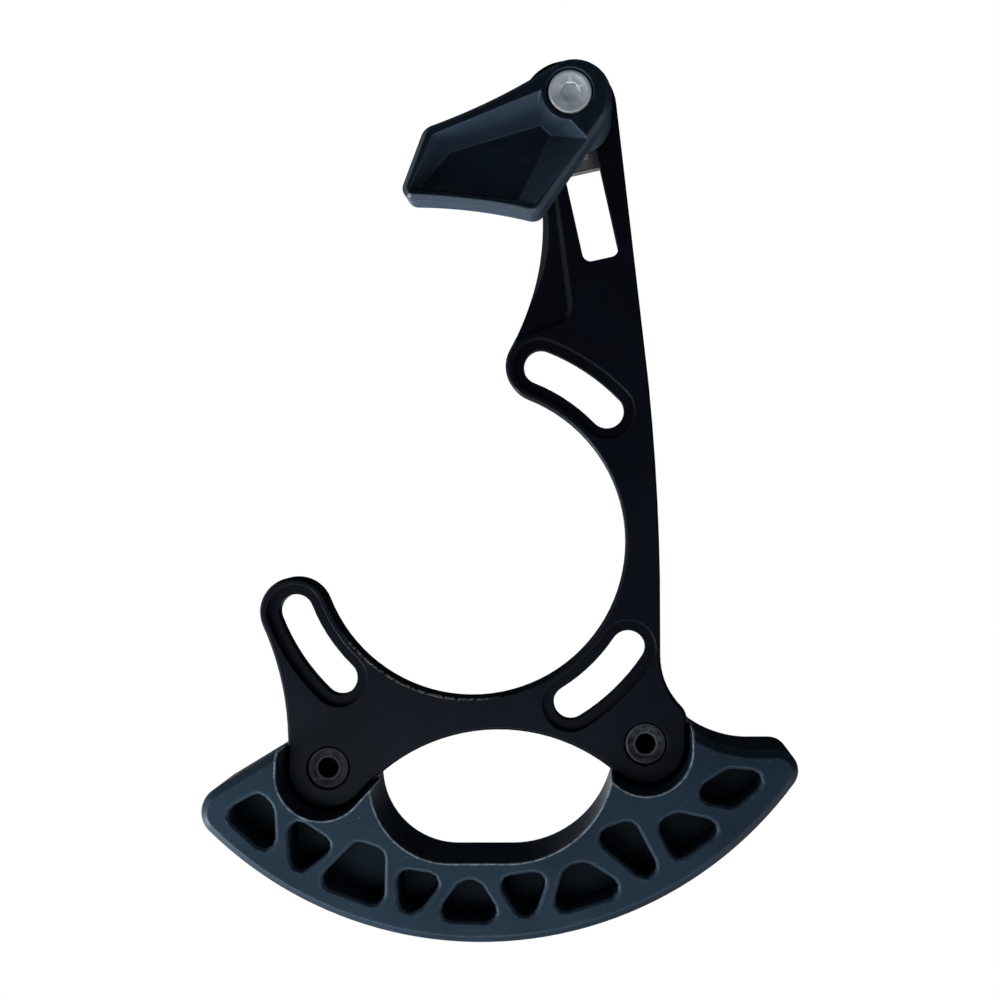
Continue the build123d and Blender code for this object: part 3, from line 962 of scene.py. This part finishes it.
@dataclass
class RoundedSolid:
    """Copy of a solid with real rounds on its sharp edges, which stands in the solid's place.

    Edges that rise along Y are only rounded where they turn by more than smooth_angle.
    """

    node: str
    name: str
    radius: float
    clearance: float = 0.0
    smooth_angle: float = 0.0
    segments: int = 4
    merge: float = 0.002 * MM
    flat_angle: float = radians(0.6)
    sharp_angle: float = radians(28)
    column_rise: float = 0.3 * MM

    def _merged(self) -> bpy.types.Object:
        """Copy of the solid, set back by the clearance, with whole flat faces and marked sharp edges."""
        source = frame["nodes"][self.node]
        mesh = bmesh.new()
        mesh.from_mesh(source.data)
        mesh.transform(source.matrix_world)
        bmesh.ops.remove_doubles(mesh, verts=mesh.verts, dist=self.merge)
        mesh.normal_update()
        for vertex in mesh.verts:
            vertex.co -= vertex.normal * self.clearance
        bmesh.ops.dissolve_limit(mesh, angle_limit=self.flat_angle, verts=mesh.verts, edges=mesh.edges)
        weight = mesh.edges.layers.float.new("bevel_weight_edge")
        for edge in mesh.edges:
            start, end = edge.verts
            limit = self.sharp_angle
            if abs(start.co.y - end.co.y) > self.column_rise:
                limit = max(limit, self.smooth_angle)
            edge[weight] = float(edge.calc_face_angle() > limit)
        data = bpy.data.meshes.new(f"{self.name}_merged")
        mesh.to_mesh(data)
        mesh.free()
        data.shade_smooth()
        return linked(data.name, data)

    def build(self, finish: bpy.types.Material) -> bpy.types.Object:
        """Round the copy and keep the result as one plain mesh in a finish."""
        merged = self._merged()
        rounds = merged.modifiers.new("round", "BEVEL")
        rounds.width = self.radius
        rounds.segments = self.segments
        rounds.limit_method = "WEIGHT"
        rounds.use_clamp_overlap = False
        merged.modifiers.new("even", "WEIGHTED_NORMAL").keep_sharp = True
        piece = plain_piece(self.name, merged)
        piece.data.materials.clear()
        piece.data.materials.append(finish)
        return piece


@dataclass
class Mount:
    """The milled backplate that bolts to the bike."""

    finish: BlackAnodised = BlackAnodised()
    edge_break: float = 0.15 * MM
    slide_clearance: float = 0.01 * MM

    def build(self) -> None:
        """Build the plate with its broken edges and a hair's clearance for the guide that slides on it."""
        solid = RoundedSolid("backplate", "milled_plate", self.edge_break, self.slide_clearance)
        settle(solid.build(self.finish.material()), ("backplate",), Body.FRAME_SIDE, Slot.PLATE)


@dataclass
class Guard:
    """The moulded bash guard with its truss pockets."""

    finish: SatinMoulding = SatinMoulding()
    mould_round: float = 0.20 * MM
    pocket_corner: float = radians(75)

    def build(self) -> None:
        """Build the guard with its moulded rounds; the corners of its pockets shade as fillets."""
        solid = RoundedSolid("bash_guard", "truss_guard", self.mould_round, smooth_angle=self.pocket_corner)
        settle(solid.build(self.finish.material()), ("bash_guard",), Body.FRAME_SIDE, Slot.GUARD)


@dataclass
class ChainGuide:
    """The two moulded halves that keep the chain on its ring."""

    finish: GlossNavy = GlossNavy()

    def build(self) -> None:
        """Dress both halves."""
        gloss = self.finish.material()
        dress("upper_guide_outer", gloss)
        dress("upper_guide_inner", gloss)


@dataclass
class Fasteners:
    """The black guard bolts with their nuts, and the silver guide bolt with its T-nut."""

    black: TurnedSteel = TurnedSteel(
        "black_oxide", (0.0030, 0.0044, 0.0062, 1), (0.080, 0.098, 0.115, 1), metallic=0.0, roughness=0.34,
        specular=0.14, socket_radius=2.0, highlight_rims=(2.18, 3.68),
    )
    silver: TurnedSteel = TurnedSteel(
        "bright_zinc", (0.55, 0.64, 0.70, 1), (0.80, 0.87, 0.92, 1), metallic=0.5, roughness=0.36,
        highlight_rims=(3.62,),
    )
    zinc: TurnedSteel = TurnedSteel(
        "zinc_nut", (0.30, 0.31, 0.31, 1), (0.46, 0.47, 0.46, 1), metallic=1.0, roughness=0.34,
    )
    guard_bolts: tuple[str, ...] = ("rear_guard_bolt", "front_guard_bolt")
    guard_nuts: tuple[str, ...] = ("rear_guard_nut", "front_guard_nut")
    guard_hex: float = 3.5 * MM
    guide_hex: float = 3.0 * MM
    tee_round: float = 0.15 * MM

    def build(self) -> None:
        """Build the fasteners in place of their plain solids."""
        tree = FastenerSet()
        ends = [middle(node) for node in self.guard_bolts]
        guide = middle("guide_bolt")
        plated = self.zinc.material([*ends, guide])
        black = self.black.material(ends)
        silver = self.silver.material([guide])
        bolts = self._bolts(tree, "guard_bolts", self.guard_bolts, self.guard_hex, black)
        settle(bolts, self.guard_bolts, Body.FRAME_SIDE, Slot.GUARD_BOLT)
        bolt = self._bolts(tree, "silver_guide_bolt", ("guide_bolt",), self.guide_hex, silver)
        settle(bolt, ("guide_bolt",), Body.UPPER_GUIDE, Slot.GUIDE_BOLT)
        nut = HexNut()
        seats = [on_axis(node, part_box(node)[1][1]) for node in self.guard_nuts]
        nuts = tree.place("guard_nuts", seats, nut.blank(), nut.thread(), plated)
        settle(nuts, self.guard_nuts, Body.FRAME_SIDE, Slot.NUT)
        tee = RoundedSolid("guide_nut", "tee_nut", self.tee_round)
        settle(tee.build(plated), ("guide_nut",), Body.UPPER_GUIDE, Slot.NUT)

    @staticmethod
    def _bolts(tree: FastenerSet, name: str, nodes: tuple[str, ...], hex_size: float,
               finish: bpy.types.Material) -> bpy.types.Object:
        """Build one kind of bolt from the boxes of its solids.

        Args:
            tree: Tree that sets fasteners.
            name: Name of the piece.
            nodes: Solids that it stands for.
            hex_size: Width of the socket.
            finish: Material.

        Returns:
            The finished piece.
        """
        low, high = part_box(nodes[0])
        bolt = SocketBolt(hex_size, high[1] - low[1] - SocketBolt.head_height)
        seats = [on_axis(node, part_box(node)[0][1] + bolt.head_height) for node in nodes]
        return tree.place(name, seats, bolt.blank(), bolt.thread(), finish)


@dataclass
class Lamp:
    """Soft rectangular lamp that looks at a point."""

    name: str
    at: Vector
    towards: Vector
    width: float
    height: float
    power: float

    def build(self) -> None:
        """Add the lamp."""
        light = bpy.data.lights.new(self.name, "AREA")
        light.shape = "RECTANGLE"
        light.size = self.width
        light.size_y = self.height
        light.energy = self.power
        linked(self.name, light).matrix_world = aimed(self.at, self.towards, "-Z")


@dataclass
class Card:
    """Dark card that keeps the light off one side of the gloss, out of the camera's sight."""

    name: str
    at: Vector
    towards: Vector
    width: float
    height: float

    def build(self, material: bpy.types.Material) -> None:
        """Add the card in a material."""
        placement = aimed(self.at, self.towards, "Z")
        half_w, half_h = self.width / 2, self.height / 2
        corners = [(-half_w, -half_h, 0), (half_w, -half_h, 0), (half_w, half_h, 0), (-half_w, half_h, 0)]
        item = sheet(self.name, [placement @ Vector(corner) for corner in corners], material)
        item.visible_camera = False
        item.visible_diffuse = False
        item.visible_shadow = False


@dataclass
class Studio:
    """White studio: pale floor, soft lamps, dark cards and the camera at the photograph's view.

    The lamps are two strips and a front lamp that lie low, a weak key and fill in front, and one behind.
    The cards stand in front, above, on the right and behind, and one lies on the floor.
    """

    floor_colour: Colour = (0.9, 0.9, 0.9, 1)
    floor_height: float = -0.128
    floor_reach: float = 0.9
    floor_fade: Band = Band(50.0, 110.0)
    ambient: float = 0.16
    camera_at: Vector = Vector((0.0249, -0.293, 0.0082))
    clip_start: float = 0.01
    sensor: float = 36.0
    lens: float = 53.892
    shift: float = -0.1
    card_colour: Colour = (0.02, 0.02, 0.022, 1)
    card_roughness: float = 0.9
    cards: tuple[Card, ...] = (
        Card("front_card", Vector((0.12, -0.75, 0.25)), Vector((0.01, 0.0, 0.01)), 1.3, 0.75),
        Card("top_card", Vector((0.05, -0.1, 0.6)), Vector((0.01, 0.0, 0.01)), 1.4, 1.2),
        Card("right_card", Vector((0.7, -0.2, 0.2)), Vector((0.01, 0.0, 0.01)), 1.0, 0.8),
        Card("back_card", Vector((0.0, 0.32, 0.202)), Vector((0.0, -0.68, 0.202)), 1.6, 0.64),
        Card("low_card", Vector((0.33, -0.55, -0.123)), Vector((0.33, -0.55, 0.877)), 0.6, 0.5),
    )
    lamps: tuple[Lamp, ...] = (
        Lamp("side_strip", Vector((-0.16, -0.040, -0.115)), Vector((0.0, -0.01, 0.0)), 0.10, 0.03, 0.42),
        Lamp("low_strip", Vector((0.0, -0.050, -0.122)), Vector((0.01, -0.01, 0.0)), 0.22, 0.03, 0.11),
        Lamp("low_front", Vector((-0.06, -0.20, -0.122)), Vector((0.0, -0.02, 0.05)), 0.20, 0.10, 0.11),
        Lamp("key", Vector((-0.42, -0.50, -0.04)), Vector(), 0.42, 0.10, 0.45),
        Lamp("fill", Vector((0.35, -0.55, 0.10)), Vector(), 0.5, 0.3, 0.35),
        Lamp("rear", Vector((-0.36, 0.42, -0.095)), Vector(), 0.3, 0.05, 1.0),
    )

    def build(self) -> None:
        """Build the studio."""
        self._world()
        self._floor()
        self._cards()
        for lamp in self.lamps:
            lamp.build()
        self._camera()

    @staticmethod
    def _seen(g: Graph) -> Shade:
        """Mask of rays that show the background: straight, mirrored or through something clear."""
        path = g.node("ShaderNodeLightPath", {}, {})
        glossy = g.value(path, "Is Glossy Ray")
        clear = g.value(path, "Is Transmission Ray")
        return g.value(path, "Is Camera Ray").math("MAXIMUM", glossy).math("MAXIMUM", clear)

    def _world(self) -> None:
        """White where it is seen, soft where it only lights."""
        world = bpy.data.worlds.new("studio")
        world.use_nodes = True
        bpy.context.scene.world = world
        g = Graph(world.node_tree)
        backdrop = g.value(g.node("ShaderNodeBackground", {}, {"Color": WHITE, "Strength": 1.0}))
        fill = g.value(g.node("ShaderNodeBackground", {}, {"Color": WHITE, "Strength": self.ambient}))
        g.node("ShaderNodeOutputWorld", {}, {"Surface": g.mix(self._seen(g), fill, backdrop)})

    def _floor(self) -> None:
        """Pale floor that keeps the shadow near the part and fades to white further out."""
        material, g = new_graph("pale_floor")
        x, y, _ = g.parts(g.place())
        far = ((x * x + y * y) ** 0.5).step(self.floor_fade)
        matt = g.value(g.node("ShaderNodeBsdfDiffuse", {}, {"Color": self.floor_colour}))
        white = g.value(g.node("ShaderNodeEmission", {}, {"Color": WHITE, "Strength": 1.0}))
        g.node("ShaderNodeOutputMaterial", {}, {"Surface": g.mix(far * self._seen(g), matt, white)})
        reach = self.floor_reach
        corners = [(-reach, -reach), (reach, -reach), (reach, reach), (-reach, reach)]
        item = sheet("floor", [Vector((*corner, self.floor_height)) for corner in corners], material)

    def _cards(self) -> None:
        """Dark cards, all in one paper."""
        material, g = new_graph("dark_card")
        paper = {"Base Color": self.card_colour, "Roughness": self.card_roughness, "Specular IOR Level": 0.0}
        g.surface(paper)
        for card in self.cards:
            card.build(material)

    def _camera(self) -> None:
        """Camera at the photograph's view."""
        data = bpy.data.cameras.new("photo_view")
        data.sensor_width = self.sensor
        data.lens = self.lens
        data.shift_x = self.shift
        data.clip_start = self.clip_start
        item = linked("photo_view", data)
        item.location = self.camera_at
        item.rotation_euler = (pi / 2, 0, 0)
        bpy.context.scene.camera = item


def main() -> None:
    """Build the studio, then each sub-assembly in order."""
    logging.basicConfig(level=logging.INFO, format="%(name)s: %(message)s")
    bpy.context.scene.view_settings.view_transform = "Standard"
    Studio().build()
    Mount().build()
    Guard().build()
    ChainGuide().build()
    Fasteners().build()


if __name__ == "__main__":
    main()
